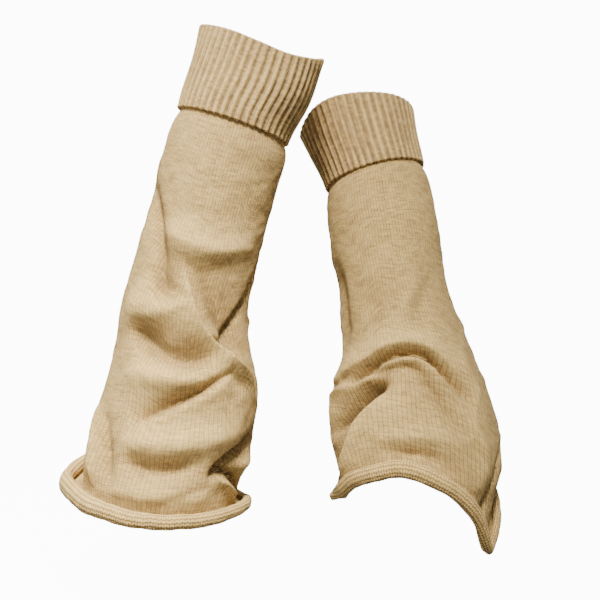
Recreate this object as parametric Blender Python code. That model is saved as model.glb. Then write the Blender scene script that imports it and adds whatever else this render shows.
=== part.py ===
# A pair of knitted leg warmers, hollow and open at both ends, in the slouched shape of use. Each has
# a rib cuff turned down over itself, a plain knit leg that sinks into folds lower down, and a hem
# that curls outward into a roll.
# Tables and sizes are in millimetres and degrees, and the meshes are in metres. X runs to the right
# as seen from the front, the front faces -Y and Z is up. The origin is the middle of the left cuff,
# on its axis. An angle runs round a leg from 0 at its front to +90 at its right. A level runs down
# the leg, from 0 at the cuff's lower edge, and is negative under the cuff.

from collections import namedtuple

import bpy
import numpy as np

MM = 0.001

# Knit
LEG_WALL = 2.2
CUFF_INNER_WALL = 2.0
CUFF_OUTER_WALL = 1.6
RIB_HEIGHT = 1.8
RIBS_ROUND_CUFF = 46
LAYER_GAP = 0.4
SEAM_GAP = 0.3

# Where the plain knit is joined to the rib, above the cuff's lower edge
JOIN_LEVEL = -6.0

# One rib across its width: the shares where its crest rises, flattens, turns down and ends
RIB_SHARES = (0.09, 0.27, 0.73, 0.91)

# The soft fold at the cuff's top: how far under it the ribs begin to flatten, where they are softest,
# how much lower their crests and valleys are there, how far the fold's own edge stands out, and how
# far under it the inner face and the slot between the two layers end
RIBS_BELOW_FOLD = 3.0
SOFT_BELOW_FOLD = 0.8
SOFT_CREST_DROP = 1.0
SOFT_VALLEY_DROP = 0.5
FOLD_STANDS_OUT = 0.4
INNER_BELOW_FOLD = 3.5
SLOT_BELOW_FOLD = 5.0

# Mesh fineness
POINTS_ROUND_LEG = 40
BRIM_SHARES = (0.0, 0.4, 0.72, 1.0)
ROLL_STEPS = 7
LINE_STEPS = 6

# How far above the middle of the roll the leg's plain rows end, and how the leg bends under the roll:
# from its top to its low point, in roll radii, and then out with a pull that is a share of the way
BRIM_ABOVE_ROLL = 12.0
BRIM_TOP = 0.8
BRIM_LOW = -0.4
BRIM_PULL = 0.5

# How the hem curls, as angles round the middle of the roll: 0 is outward and 90 is up. The roll's
# radius shrinks to its end share.
CURL_START = -130.0
CURL_TIGHT_FROM = 60.0
CURL_END = 205.0
CURL_END_SHARE = 0.75

# One cross-section of a leg: its middle, its half width and half depth, how far its right side leans down,
# and how much lower its front lies than its middle
Section = namedtuple("Section", "level x y z half_width half_depth lean front_drop")

# The hem's line: where the middle of the roll lies at each angle, and how far it stands out from the leg
HemPoint = namedtuple("HemPoint", "angle level flare")

# A fold runs along its path of (angle, level, strength) points. Its height is outward, or inward if
# negative, and it dies away over one width on each side, left and right as its path runs. A small
# bend makes its crest sharp. The crest leans to the right by its lap.
Fold = namedtuple("Fold", "path left_width right_width bend height lap")

LegWarmer = namedtuple("LegWarmer", "side sections hem folds roll_radius rows")

LEFT_SECTIONS = (
    Section(-82.0, 14.6, 0.0, 39.2, 54.2, 53.0, 15.0, 6.0),
    Section(-41.0, 0.7, 0.0, 0.0, 54.2, 53.0, 16.6, 3.0),
    Section(-8.0, -12.2, 0.0, -31.8, 51.2, 50.8, 18.2, 0.0),
    Section(0.0, -14.6, 0.0, -39.5, 50.8, 50.6, 18.4, 0.0),
    Section(9.0, -16.8, 0.0, -47.8, 53.8, 51.9, 18.0, 0.0),
    Section(43.0, -27.0, 0.0, -80.5, 55.4, 54.0, 16.0, 0.0),
    Section(87.0, -37.6, 0.0, -122.8, 55.0, 55.5, 14.5, 0.0),
    Section(132.0, -49.6, 0.0, -166.0, 56.2, 57.5, 8.0, 0.0),
    Section(179.0, -60.0, -1.0, -212.1, 58.6, 60.5, 4.5, 1.0),
    Section(218.0, -61.0, -2.0, -251.6, 64.2, 64.0, 0.5, 2.0),
    Section(252.0, -64.0, -3.0, -285.1, 72.0, 68.0, -2.0, 3.0),
    Section(284.0, -69.8, -4.0, -316.2, 75.0, 71.0, 0.0, 5.0),
    Section(313.0, -75.8, -5.0, -345.1, 74.9, 72.0, 1.5, 8.0),
    Section(338.0, -80.6, -6.0, -369.3, 70.8, 70.0, 4.0, 11.0),
    Section(356.0, -84.0, -6.0, -386.5, 70.0, 69.0, 5.4, 11.0),
)

LEFT_HEM = (
    HemPoint(-90.0, 341.0, 16.0),
    HemPoint(-65.0, 341.0, 13.0),
    HemPoint(-35.0, 343.0, 9.5),
    HemPoint(0.0, 345.0, 9.0),
    HemPoint(30.0, 345.0, 9.0),
    HemPoint(60.0, 345.0, 9.5),
    HemPoint(90.0, 348.0, 11.5),
    HemPoint(120.0, 354.0, 9.0),
    HemPoint(150.0, 348.0, 8.5),
    HemPoint(180.0, 341.0, 9.0),
    HemPoint(210.0, 334.0, 10.0),
    HemPoint(245.0, 331.0, 14.5),
)

RIGHT_SECTIONS = (
    Section(-72.5, 103.6, 92.0, -8.4, 53.2, 52.0, -4.5, -10.0),
    Section(-34.3, 113.3, 84.0, -46.2, 50.5, 50.5, -9.5, -10.0),
    Section(-7.0, 120.8, 77.6, -71.5, 47.8, 48.3, -12.8, -10.0),
    Section(0.0, 122.6, 76.0, -78.0, 47.2, 48.0, -13.0, -10.0),
    Section(9.0, 124.2, 74.1, -86.4, 50.4, 49.8, -12.0, -10.0),
    Section(30.0, 126.7, 69.5, -107.2, 52.8, 52.0, -9.5, -10.0),
    Section(70.0, 132.0, 60.5, -145.6, 54.0, 54.5, -7.0, -9.0),
    Section(115.0, 138.0, 50.0, -189.2, 53.0, 56.0, -4.0, -7.0),
    Section(150.0, 144.1, 42.0, -222.8, 57.2, 59.0, -2.0, -4.0),
    Section(182.0, 150.5, 34.5, -253.0, 63.8, 64.0, 0.0, -2.0),
    Section(214.0, 153.4, 26.6, -284.1, 71.6, 69.0, 0.0, 0.0),
    Section(240.0, 155.0, 20.0, -309.2, 77.4, 73.0, 0.0, 0.0),
    Section(266.0, 156.8, 13.8, -334.0, 79.0, 74.0, 0.0, 0.0),
    Section(290.0, 158.3, 7.6, -357.5, 76.3, 73.0, 0.0, 0.0),
    Section(310.0, 159.5, 4.0, -376.5, 69.0, 70.0, 0.0, 0.0),
    Section(330.0, 156.0, 0.0, -396.0, 67.5, 68.0, 0.0, 0.0),
    Section(373.0, 150.0, -7.0, -437.0, 66.0, 67.0, 0.0, 0.0),
)

RIGHT_HEM = (
    HemPoint(-90.0, 309.0, 8.0),
    HemPoint(-60.0, 297.0, 8.0),
    HemPoint(-35.0, 283.5, 7.8),
    HemPoint(-12.0, 278.5, 7.8),
    HemPoint(7.0, 290.0, 7.8),
    HemPoint(28.0, 310.0, 7.8),
    HemPoint(44.0, 329.0, 7.8),
    HemPoint(57.0, 349.0, 8.0),
    HemPoint(70.0, 348.0, 8.5),
    HemPoint(90.0, 331.0, 9.0),
    HemPoint(120.0, 306.0, 9.5),
    HemPoint(150.0, 291.0, 9.0),
    HemPoint(180.0, 285.0, 8.5),
    HemPoint(210.0, 289.0, 8.5),
    HemPoint(240.0, 300.0, 8.5),
)

LEFT_FOLDS = (
    # The lap that crosses from the front to the right side
    Fold(((0, 148, 0.0), (12, 172, 0.7), (25, 186, 1.0), (39, 198, 1.0), (55, 215, 1.0), (76, 233, 0.9),
          (98, 240, 0.0)), 6.0, 15.0, 2.0, 6.0, -2.5),
    # The crease that comes down to meet it, with a lobe to its right
    Fold(((82, 120, 0.0), (74, 138, 0.6), (61, 161, 1.0), (48, 181, 1.0), (39, 200, 0.0)),
         8.0, 6.0, 2.0, -6.0, 0.0),
    # Slack cloth on the front, from the top down
    Fold(((-85, 70, 0.0), (-50, 100, 0.6), (-33, 122, 1.0), (-20, 148, 1.0), (-8, 180, 0.0)),
         6.0, 6.0, 3.0, -2.5, 0.0),
    Fold(((-30, 106, 0.0), (0, 114, 1.0), (30, 115, 1.0), (58, 112, 0.0)), 14.0, 10.0, 6.0, 4.0, 0.0),
    Fold(((-12, 136, 0.0), (4, 139, 1.0), (22, 138, 0.7), (50, 132, 0.0)), 11.0, 10.0, 6.0, -3.5, 0.0),
    Fold(((-48, 160, 0.0), (-32, 168, 1.0), (-15, 170, 0.6), (-4, 172, 0.0)), 12.0, 10.0, 8.0, 3.0, 0.0),
    Fold(((-80, 180, 0.0), (-52, 190, 0.8), (-25, 199, 1.0), (-5, 207, 1.0), (15, 217, 0.8), (34, 226, 0.0)),
         15.0, 12.0, 8.0, -7.5, 0.0),
    Fold(((-78, 214, 0.0), (-45, 222, 0.8), (-11, 232, 1.0), (16, 236, 1.0), (34, 232, 0.8), (52, 222, 0.0)),
         12.0, 11.0, 6.0, 4.5, 0.0),
    Fold(((-34, 264, 0.0), (-10, 260, 0.7), (8, 256, 1.0), (22, 248, 1.0), (36, 239, 1.0), (52, 232, 0.0)),
         10.0, 11.0, 3.0, -7.5, 0.0),
    Fold(((-45, 276, 0.0), (-10, 280, 0.8), (20, 283, 1.0), (48, 282, 1.0), (80, 270, 0.0)),
         14.0, 11.0, 8.0, 4.0, 0.0),
    Fold(((-40, 294, 0.0), (-20, 297, 1.0), (2, 301, 1.0), (22, 306, 0.6), (38, 310, 0.0)),
         10.0, 9.0, 5.0, -4.5, 0.0),
    # The pinch above the hem
    Fold(((36, 314, 0.0), (44, 311, 0.9), (55, 303, 1.0), (68, 296, 0.7), (92, 288, 0.0)),
         9.0, 8.0, 2.5, -8.0, 0.0),
    Fold(((38, 308, 0.0), (45, 316, 0.9), (56, 324, 1.0), (67, 334, 0.8), (72, 346, 0.0)),
         10.0, 5.0, 2.0, -6.5, 0.0),
    # The left side above the hem
    Fold(((-70, 262, 0.0), (-63, 284, 1.0), (-60, 322, 1.0), (-58, 345, 0.0)), 7.0, 6.0, 3.0, 3.0, 0.0),
    Fold(((-52, 268, 0.0), (-43, 290, 1.0), (-33, 320, 1.0), (-26, 345, 0.0)), 8.0, 9.0, 5.0, -3.5, 0.0),
    # Slack cloth on the sides and back
    Fold(((-150, 158, 0.0), (-128, 166, 1.0), (-106, 168, 0.6), (-84, 160, 0.0)), 11.0, 10.0, 5.0, 3.5, 0.0),
    Fold(((-165, 172, 0.0), (-140, 186, 1.0), (-110, 192, 1.0), (-84, 190, 0.0)), 10.0, 9.0, 3.0, -6.0, 0.0),
    Fold(((-168, 196, 0.0), (-135, 208, 1.0), (-108, 212, 0.8), (-86, 208, 0.0)), 11.0, 8.0, 3.0, 4.5, 1.5),
    Fold(((-150, 236, 0.0), (-122, 240, 1.0), (-95, 238, 0.9), (-72, 240, 0.0)), 10.0, 12.0, 4.0, -6.0, 0.0),
    Fold(((-175, 268, 0.0), (-145, 272, 1.0), (-112, 268, 1.0), (-84, 262, 0.0)), 12.0, 11.0, 5.0, 4.0, 0.0),
    Fold(((-158, 302, 0.0), (-128, 300, 1.0), (-98, 296, 0.8), (-76, 300, 0.0)), 10.0, 10.0, 4.0, -4.5, 0.0),
    Fold(((98, 110, 0.0), (125, 122, 1.0), (158, 126, 1.0), (188, 116, 0.0)), 12.0, 11.0, 7.0, 3.5, 0.0),
    Fold(((104, 146, 0.0), (130, 152, 1.0), (165, 158, 1.0), (200, 150, 0.0)), 12.0, 10.0, 4.0, -5.0, 0.0),
    Fold(((86, 190, 0.0), (112, 182, 0.9), (146, 188, 1.0), (180, 184, 1.0), (206, 176, 0.0)),
         11.0, 8.0, 3.0, 5.0, 1.5),
    Fold(((88, 216, 0.0), (115, 212, 1.0), (150, 214, 1.0), (182, 208, 0.0)), 9.0, 11.0, 3.0, -7.0, 0.0),
    Fold(((96, 246, 0.0), (126, 240, 1.0), (160, 246, 1.0), (196, 240, 0.0)), 11.0, 10.0, 5.0, 4.5, 0.0),
    Fold(((90, 268, 0.0), (118, 274, 1.0), (152, 276, 1.0), (190, 266, 0.0)), 10.0, 10.0, 4.0, -5.5, 0.0),
    Fold(((84, 306, 0.0), (112, 304, 1.0), (148, 306, 0.9), (186, 300, 0.0)), 11.0, 10.0, 6.0, 3.5, 0.0),
)

RIGHT_FOLDS = (
    # The arch above the hem: a round roll of cloth, the crease under it and the thin ridge inside it
    Fold(((-96, 212, 0.0), (-74, 206, 0.7), (-58, 190, 1.0), (-38, 174, 1.0), (-14, 168, 1.0), (7, 170, 1.0),
          (26, 182, 0.8), (40, 194, 0.0)), 16.0, 7.0, 4.0, 6.5, 2.5),
    Fold(((-48, 200, 0.0), (-36, 189, 0.7), (-20, 182, 1.0), (-5, 180, 1.0), (9, 182, 1.0), (18, 190, 1.0),
          (28, 202, 0.7), (38, 214, 0.0)), 5.0, 6.0, 1.5, -6.5, 0.0),
    Fold(((-34, 192, 0.0), (-20, 187, 1.0), (0, 184, 1.0), (10, 190, 1.0), (17, 202, 1.0), (24, 216, 0.7),
          (34, 234, 0.0)), 4.0, 5.0, 2.0, 2.5, 0.0),
    Fold(((-30, 197, 0.0), (-15, 192, 0.8), (0, 192, 1.0), (8, 200, 1.0), (15, 213, 1.0), (23, 227, 0.8),
          (34, 256, 0.0)), 5.0, 9.0, 2.5, -3.5, 0.0),
    # The front flap that laps over the left side
    Fold(((-18, 198, 0.0), (-30, 208, 0.8), (-40, 218, 1.0), (-50, 234, 1.0), (-60, 256, 1.0),
          (-70, 284, 0.0)), 4.0, 10.0, 2.0, -7.0, 0.0),
    Fold(((-14, 204, 0.0), (-27, 215, 0.8), (-40, 236, 1.0), (-50, 259, 1.0), (-58, 280, 1.0),
          (-62, 300, 0.0)), 16.0, 5.0, 2.0, 4.5, 2.0),
    Fold(((-98, 208, 0.0), (-84, 224, 1.0), (-82, 248, 1.0), (-84, 272, 0.0)), 12.0, 10.0, 8.0, 3.2, 0.0),
    # Slack cloth on the front
    Fold(((48, 110, 0.0), (32, 130, 0.8), (12, 150, 1.0), (2, 166, 0.0)), 8.0, 7.0, 3.0, -3.0, 0.0),
    Fold(((8, 112, 0.0), (4, 132, 0.8), (-6, 152, 0.8), (-10, 164, 0.0)), 6.0, 6.0, 3.0, -2.0, 0.0),
    Fold(((-34, 264, 0.0), (-16, 259, 1.0), (0, 254, 1.0), (16, 254, 0.8), (34, 266, 0.0)),
         12.0, 8.0, 5.0, 3.0, 0.0),
    Fold(((-24, 272, 0.0), (-6, 268, 1.0), (10, 275, 1.0), (26, 294, 0.0)), 6.0, 7.0, 4.0, -2.5, 0.0),
    Fold(((40, 176, 0.0), (44, 204, 0.9), (50, 232, 1.0), (58, 262, 0.0)), 9.0, 8.0, 6.0, 3.0, 0.0),
    Fold(((72, 270, 0.0), (62, 286, 1.0), (55, 303, 1.0), (48, 326, 1.0), (44, 345, 0.0)),
         5.0, 7.0, 2.0, -5.5, 0.0),
    # Slack cloth on the sides and back
    Fold(((-128, 170, 0.0), (-106, 180, 1.0), (-90, 187, 0.7), (-68, 184, 0.0)), 9.0, 8.0, 4.0, -4.0, 0.0),
    Fold(((-176, 200, 0.0), (-150, 196, 1.0), (-122, 204, 1.0), (-94, 212, 0.0)), 12.0, 8.0, 4.0, 5.0, 1.5),
    Fold(((-170, 222, 0.0), (-142, 220, 1.0), (-116, 228, 1.0), (-92, 240, 0.0)), 8.0, 11.0, 3.0, -6.0, 0.0),
    Fold(((-160, 256, 0.0), (-132, 250, 1.0), (-108, 260, 0.8), (-88, 272, 0.0)), 11.0, 10.0, 5.0, 3.5, 0.0),
    Fold(((78, 148, 0.0), (104, 156, 1.0), (136, 154, 1.0), (168, 162, 0.0)), 11.0, 9.0, 4.0, 4.0, 1.0),
    Fold(((72, 176, 0.0), (100, 180, 1.0), (134, 176, 1.0), (172, 184, 0.0)), 8.0, 10.0, 3.0, -6.0, 0.0),
    Fold(((66, 206, 0.0), (96, 206, 1.0), (130, 200, 1.0), (166, 208, 0.0)), 10.0, 9.0, 5.0, 4.5, 0.0),
    Fold(((70, 234, 0.0), (98, 230, 1.0), (128, 226, 0.9), (158, 234, 0.0)), 9.0, 10.0, 4.0, -5.0, 0.0),
    Fold(((62, 262, 0.0), (92, 260, 1.0), (122, 256, 0.9), (150, 262, 0.0)), 10.0, 10.0, 5.0, 3.5, 0.0),
)

# Levels of the leg's rows, close together where the cloth is folded
LEFT_ROWS = (-6.0, 0.0, 9.0, 26.0, 50.0, 78.0, 104.0, 126.0, 140.0, 152.0, 164.0, 176.0, 187.0, 198.0, 209.0,
             220.0, 231.0, 242.0, 253.0, 265.0, 277.0, 289.0, 301.0, 312.0, 323.0, 333.0)
RIGHT_ROWS = (-6.0, 0.0, 9.0, 26.0, 48.0, 74.0, 98.0, 120.0, 138.0, 152.0, 162.0, 171.0, 179.0, 186.0, 193.0,
              200.0, 207.0, 214.0, 222.0, 231.0, 241.0, 251.0, 261.0, 270.0)

LEFT = LegWarmer("left", LEFT_SECTIONS, LEFT_HEM, LEFT_FOLDS, 5.7, LEFT_ROWS)
RIGHT = LegWarmer("right", RIGHT_SECTIONS, RIGHT_HEM, RIGHT_FOLDS, 5.6, RIGHT_ROWS)


def spline(at, places, values):
    """A smooth curve through a table's values, read at any place."""
    places = np.asarray(places, float)
    values = np.asarray(values, float)
    slopes = np.gradient(values, places)
    row = np.clip(np.searchsorted(places, at) - 1, 0, len(places) - 2)
    span = places[row + 1] - places[row]
    share = np.clip((at - places[row]) / span, 0.0, 1.0)
    start, end = values[row], values[row + 1]
    square, cube = share**2, share**3
    return (
        start * (2 * cube - 3 * square + 1)
        + slopes[row] * span * (cube - 2 * square + share)
        + end * (3 * square - 2 * cube)
        + slopes[row + 1] * span * (cube - square)
    )


def column(table, name):
    return np.array([getattr(row, name) for row in table], float)


def round_spline(angle, table, name):
    """A smooth closed curve through the hem's table, read at any angle."""
    places = column(table, "angle")
    values = column(table, name)
    places = np.concatenate([places - 360.0, places, places + 360.0])
    values = np.tile(values, 3)
    wrapped = (np.asarray(angle, float) + 90.0) % 360.0 - 90.0
    return spline(wrapped, places, values)


def unit(vectors):
    return vectors / np.linalg.norm(vectors, axis=-1, keepdims=True)


def tube_point(warmer, angle, level):
    """A point of the smooth leg, before any fold."""
    levels = column(warmer.sections, "level")
    x, y, z, half_width, half_depth, lean, front_drop = (
        spline(level, levels, column(warmer.sections, name)) for name in Section._fields[1:]
    )
    turn, tilt = np.radians(angle), np.radians(lean)
    across, ahead = np.sin(turn) * half_width, np.cos(turn)
    return np.stack(
        [
            x + across * np.cos(tilt),
            y - half_depth * ahead,
            z - across * np.sin(tilt) - front_drop * ahead,
        ],
        axis=-1,
    )


def tube_frame(warmer, angle, level):
    """The smooth leg's point with its directions outward, round to the right and down."""
    point = tube_point(warmer, angle, level)
    right = unit(tube_point(warmer, angle + 1.0, level) - tube_point(warmer, angle - 1.0, level))
    down = unit(tube_point(warmer, angle, level + 1.0) - tube_point(warmer, angle, level - 1.0))
    return point, unit(np.cross(down, right)), right, down


def fold_line(fold, radius):
    """The fold's path as close points of (distance round, level, strength)."""
    path = np.array(fold.path, float)
    stops = np.arange(len(path))
    at = np.linspace(0.0, len(path) - 1.0, (len(path) - 1) * LINE_STEPS + 1)
    line = np.stack([spline(at, stops, path[:, i]) for i in range(3)], axis=-1)
    line[:, 0] = np.radians(line[:, 0]) * radius
    return line


def fold_shift(warmer, angle, level):
    """How far the folds move each point outward, round to the right and down."""
    out, right, down = np.zeros(angle.shape), np.zeros(angle.shape), np.zeros(angle.shape)
    levels = column(warmer.sections, "level")
    for fold in warmer.folds:
        middle = np.mean([point[0] for point in fold.path])
        radius = spline(fold.path[0][1], levels, column(warmer.sections, "half_width"))
        round_way = np.radians((angle - middle + 180.0) % 360.0 - 180.0 + middle) * radius
        line = fold_line(fold, radius)
        nearest = np.full(angle.shape, np.inf)
        side, strength = np.zeros(angle.shape), np.zeros(angle.shape)
        lean_right, lean_down = np.zeros(angle.shape), np.zeros(angle.shape)
        for start, end in zip(line[:-1], line[1:]):
            run = end[:2] - start[:2]
            length = np.hypot(*run)
            share = ((round_way - start[0]) * run[0] + (level - start[1]) * run[1]) / length**2
            share = np.clip(share, 0.0, 1.0)
            gap_right = round_way - start[0] - share * run[0]
            gap_down = level - start[1] - share * run[1]
            distance = np.hypot(gap_right, gap_down)
            closer = distance < nearest
            nearest = np.where(closer, distance, nearest)
            side = np.where(closer, run[0] * gap_down - run[1] * gap_right, side)
            strength = np.where(closer, start[2] + share * (end[2] - start[2]), strength)
            lean_right = np.where(closer, -run[1] / length, lean_right)
            lean_down = np.where(closer, run[0] / length, lean_down)
        width = np.where(side > 0.0, fold.right_width, fold.left_width)
        rounded = np.hypot(nearest, fold.bend) - fold.bend
        swell = strength * np.exp(-rounded / width - 0.5 * (nearest / width) ** 2)
        out += fold.height * swell
        right += fold.lap * swell * lean_right
        down += fold.lap * swell * lean_down
    return out, right, down


def leg_point(warmer, angle, level, depth):
    """A point of the leg, folds included, at a depth inside its outer face."""
    point, outward, right, down = tube_frame(warmer, angle, level)
    shift = fold_shift(warmer, angle, level)
    return (
        point
        + outward * (shift[0] - depth)[..., None]
        + right * shift[1][..., None]
        + down * shift[2][..., None]
    )


def hem_frame(warmer, angle):
    """The middle of the roll at each angle, with the directions outward and up across the roll."""
    level = round_spline(angle, warmer.hem, "level")
    flare = round_spline(angle, warmer.hem, "flare")
    point, outward, _, _ = tube_frame(warmer, angle, level)
    point = point + outward * flare[..., None]
    onward = np.roll(point, -1, axis=0) - np.roll(point, 1, axis=0)
    up = unit(np.cross(outward, onward))
    return point, unit(np.cross(onward, up)), up, flare


def brim_rows(warmer, angle, depth):
    """The leg's last rows, which curve outward under the roll, at a depth inside its outer face."""
    middle, outward, up, flare = hem_frame(warmer, angle)
    radius = warmer.roll_radius - LEG_WALL / 2
    start = np.radians(CURL_START)
    end_out, end_up = radius * np.cos(start), radius * np.sin(start)
    pull = BRIM_PULL * (flare + end_out)
    level_way = np.ones_like(flare)
    points_out = np.stack([-flare, -flare, end_out + pull * np.sin(start), end_out * level_way])
    points_up = np.stack([
        BRIM_TOP * warmer.roll_radius * level_way,
        BRIM_LOW * warmer.roll_radius * level_way,
        end_up - pull * np.cos(start),
        end_up * level_way,
    ])
    rows = []
    for share in BRIM_SHARES:
        keep = 1.0 - share
        weights = np.array([keep**3, 3 * keep**2 * share, 3 * keep * share**2, share**3])
        slopes = np.array([-(keep**2), keep**2 - 2 * keep * share, 2 * keep * share - share**2, share**2])
        out_way, up_way = weights @ points_out, weights @ points_up
        run_out, run_up = slopes @ points_out, slopes @ points_up
        scale = depth / np.hypot(run_out, run_up)
        out_way, up_way = out_way + run_up * scale, up_way - run_out * scale
        rows.append(middle + outward * out_way[:, None] + up * up_way[:, None])
    return rows


def leg_face(warmer, depth):
    """A face of the leg as rows of points from the top down, at a depth inside its outer face."""
    angle = np.arange(POINTS_ROUND_LEG) * 360.0 / POINTS_ROUND_LEG
    hem_level = round_spline(angle, warmer.hem, "level") - BRIM_ABOVE_ROLL
    first, last = warmer.rows[1], warmer.rows[-1]
    rows = []
    for level in warmer.rows:
        # The rows follow the hem's own line more and more closely on their way down.
        share = np.clip((level - first) / (last - first), 0.0, 1.0) ** 2
        rows.append(leg_point(warmer, angle, level + share * (hem_level - last), depth))
    return np.stack(rows + brim_rows(warmer, angle, depth))


def closed_wall(outer, inner):
    """Points and faces of a wall between two grids of rows, closed along both edges. Both faces are split
    along the same diagonals, the outer face's shorter ones, so that they can't cross in a tight fold."""
    rows, around = outer.shape[:2]
    onward = np.roll(outer, -1, axis=1)
    falling = np.linalg.norm(onward[1:] - outer[:-1], axis=-1)
    rising = np.linalg.norm(onward[:-1] - outer[1:], axis=-1)
    faces = []
    for i in range(around):
        after = (i + 1) % around
        for row in range(rows - 1):
            a, b = row * around + i, row * around + after
            c, d = b + around, a + around
            pair = ((a, d, c), (a, c, b)) if falling[row, i] < rising[row, i] else ((a, d, b), (b, d, c))
            inside = rows * around
            faces += [*pair, *(tuple(corner + inside for corner in reversed(face)) for face in pair)]
        top, low = inside, (rows - 1) * around
        faces += [(i, after, after + top), (i, after + top, i + top)]
        faces += [(low + i, low + i + top, low + after + top), (low + i, low + after + top, low + after)]
    return np.concatenate([outer.reshape(-1, 3), inner.reshape(-1, 3)]), faces


def leg_wall(warmer):
    return closed_wall(leg_face(warmer, 0.0), leg_face(warmer, LEG_WALL))


def roll_row(warmer, angle, turn, step):
    """The row of the roll at one turn round its middle, a step out from the middle of the cloth."""
    middle, outward, up, _ = hem_frame(warmer, angle)
    share = np.clip((turn - CURL_TIGHT_FROM) / (CURL_END - CURL_TIGHT_FROM), 0.0, 1.0)
    radius = warmer.roll_radius * (1.0 - (1.0 - CURL_END_SHARE) * share) + step
    way = np.radians(turn)
    return middle + outward * radius * np.cos(way) + up * radius * np.sin(way)


def hem_wall(warmer):
    """The curled hem: a wall bent most of the way round the middle of the roll."""
    angle = np.arange(POINTS_ROUND_LEG) * 360.0 / POINTS_ROUND_LEG
    gap = np.degrees(SEAM_GAP / (warmer.roll_radius - LEG_WALL / 2))
    turns = np.linspace(CURL_START + gap, CURL_END, ROLL_STEPS + 1)
    layers = (
        np.stack([roll_row(warmer, angle, turn, step) for turn in turns])
        for step in (-LEG_WALL / 2, LEG_WALL / 2)
    )
    return closed_wall(*layers)


def cuff_ring(warmer, level, offset, shares):
    """One ring of the cuff: a point at each share of each rib, its offset measured out from the leg."""
    pitch = 360.0 / RIBS_ROUND_CUFF
    angle = (np.arange(RIBS_ROUND_CUFF)[:, None] + np.array(shares)[None, :]).ravel() * pitch
    offsets = np.tile(np.broadcast_to(offset, (len(shares),)), RIBS_ROUND_CUFF)
    point, outward, _, _ = tube_frame(warmer, angle, np.full(angle.shape, level))
    return point + outward * offsets[:, None]


def cuff_wall(warmer):
    """The turned-down rib: a raised outer layer, the soft fold at the top, and the inner layer."""
    top = warmer.sections[0].level
    valley = LAYER_GAP + CUFF_OUTER_WALL
    crest = valley + RIB_HEIGHT
    soft_valley, soft_crest = valley - SOFT_VALLEY_DROP, crest - SOFT_CREST_DROP
    rib = (valley, crest, crest, valley)
    soft_rib = (soft_valley, soft_crest, soft_crest, soft_valley)
    join = JOIN_LEVEL - SEAM_GAP
    slot_top = top + SLOT_BELOW_FOLD
    plain = (0.0,)
    rings = [
        cuff_ring(warmer, 0.0, rib, RIB_SHARES),
        cuff_ring(warmer, top / 2, rib, RIB_SHARES),
        cuff_ring(warmer, top + RIBS_BELOW_FOLD, rib, RIB_SHARES),
        cuff_ring(warmer, top + SOFT_BELOW_FOLD, soft_rib, RIB_SHARES),
        cuff_ring(warmer, top, FOLD_STANDS_OUT, plain),
        cuff_ring(warmer, top + INNER_BELOW_FOLD, -CUFF_INNER_WALL, plain),
        cuff_ring(warmer, top / 2, -CUFF_INNER_WALL, plain),
        cuff_ring(warmer, join, -CUFF_INNER_WALL, plain),
        cuff_ring(warmer, join, 0.0, plain),
        cuff_ring(warmer, top / 2, 0.0, plain),
        cuff_ring(warmer, slot_top, 0.0, plain),
        cuff_ring(warmer, slot_top, LAYER_GAP, plain),
        cuff_ring(warmer, top / 2, LAYER_GAP, plain),
        cuff_ring(warmer, 0.0, LAYER_GAP, plain),
    ]
    return bridge_rings(rings)


def bridge_rings(rings):
    """Points and faces that join each ring to the next, and the last to the first. A ring has one point or
    several at each rib."""
    starts = np.concatenate([[0], np.cumsum([len(ring) for ring in rings])])
    faces = []
    for i, ring in enumerate(rings):
        other = (i + 1) % len(rings)
        here, there = len(ring) // RIBS_ROUND_CUFF, len(rings[other]) // RIBS_ROUND_CUFF
        for rib in range(RIBS_ROUND_CUFF):
            upper = [starts[i] + (rib * here + k) % len(ring) for k in range(here + 1)]
            lower = [starts[other] + (rib * there + k) % len(rings[other]) for k in range(there + 1)]
            faces += strip(upper, lower)
    return np.concatenate(rings), faces


def strip(first, second):
    """Faces between two runs of points: quads where they match, and a fan where one has fewer."""
    if len(first) == len(second):
        return [(first[k], first[k + 1], second[k + 1], second[k]) for k in range(len(first) - 1)]
    if len(first) < len(second):
        return [tuple(reversed(face)) for face in strip(second, first)]
    half = (len(first) - 1) // 2
    fan = [(first[k], first[k + 1], second[0]) for k in range(half)]
    fan.append((first[half], second[1], second[0]))
    return fan + [(first[k], first[k + 1], second[1]) for k in range(half, len(first) - 1)]


def knit_material(name, colour, roughness):
    material = bpy.data.materials.new(name)
    material.use_nodes = True
    shader = material.node_tree.nodes["Principled BSDF"]
    shader.inputs["Base Color"].default_value = (*colour, 1.0)
    shader.inputs["Roughness"].default_value = roughness
    shader.inputs["Metallic"].default_value = 0.0
    return material


def add_piece(name, wall, material, warmer_empty):
    points, faces = wall
    mesh = bpy.data.meshes.new(name)
    mesh.from_pydata([tuple(point) for point in points * MM], [], faces)
    mesh.materials.append(material)
    mesh.validate()
    mesh.shade_smooth()
    piece = bpy.data.objects.new(name, mesh)
    bpy.context.scene.collection.objects.link(piece)
    piece.parent = warmer_empty
    return piece


def build():
    for old in list(bpy.data.objects):
        bpy.data.objects.remove(old)
    rib = knit_material("rib_knit", (0.50, 0.36, 0.22), 0.9)
    plain = knit_material("plain_knit", (0.56, 0.41, 0.25), 0.9)
    curl = knit_material("curled_hem", (0.60, 0.45, 0.27), 0.92)
    for warmer in (LEFT, RIGHT):
        holder = bpy.data.objects.new(f"{warmer.side}_warmer", None)
        bpy.context.scene.collection.objects.link(holder)
        add_piece(f"{warmer.side}_cuff", cuff_wall(warmer), rib, holder)
        add_piece(f"{warmer.side}_leg", leg_wall(warmer), plain, holder)
        add_piece(f"{warmer.side}_hem", hem_wall(warmer), curl, holder)


build()
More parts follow.
